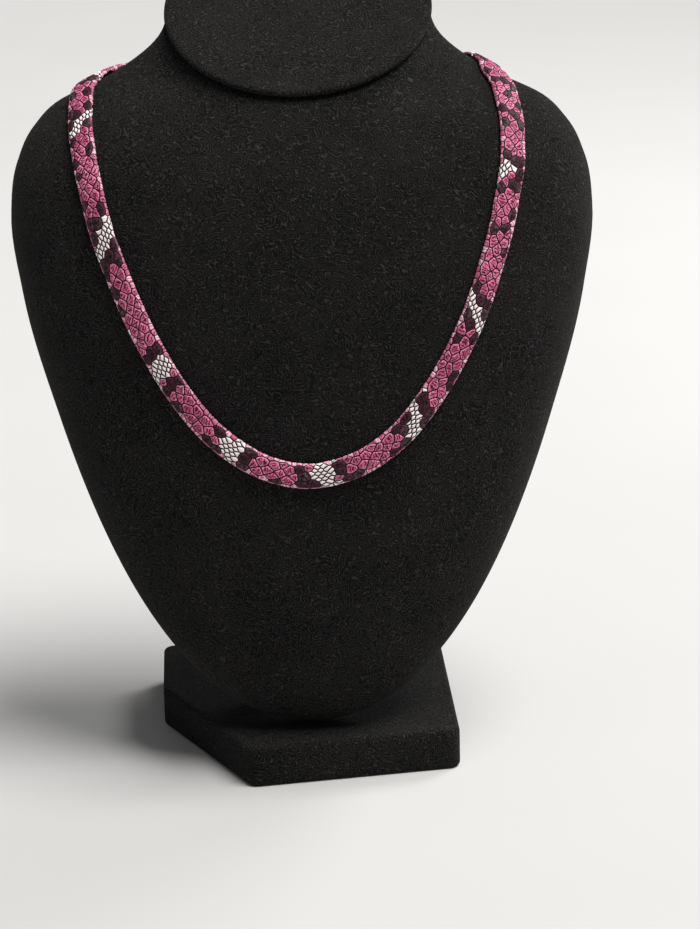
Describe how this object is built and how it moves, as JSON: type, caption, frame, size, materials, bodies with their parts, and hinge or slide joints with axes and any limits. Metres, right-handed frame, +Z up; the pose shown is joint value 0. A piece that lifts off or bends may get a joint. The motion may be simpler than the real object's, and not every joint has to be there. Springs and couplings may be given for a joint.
{
  "type": "snake necklace on a neck bust",
  "caption": "Flat padded snakeskin necklace in a closed loop, laid round a dark velvet neck bust that leans back on a base block.",
  "frame": {"origin": "middle of the base block's underside, below the post", "axes": "+Z up; the bust faces -Y; +X to the viewer's right"},
  "size_m": [0.2024, 0.1147, 0.2853],
  "materials": {
    "base_velvet": "matte velvet",
    "post_metal": "brushed",
    "form_velvet": "matte velvet",
    "cap_velvet": "matte velvet",
    "band_leather": "embossed snakeskin, semi-gloss",
    "clasp_metal": "polished"
  },
  "bodies": {
    "root": {"base": "base_velvet", "post": "post_metal", "form": "form_velvet", "neck_cap": "cap_velvet", "band": "band_leather", "clasp": "clasp_metal"}
  },
  "joints": []
}
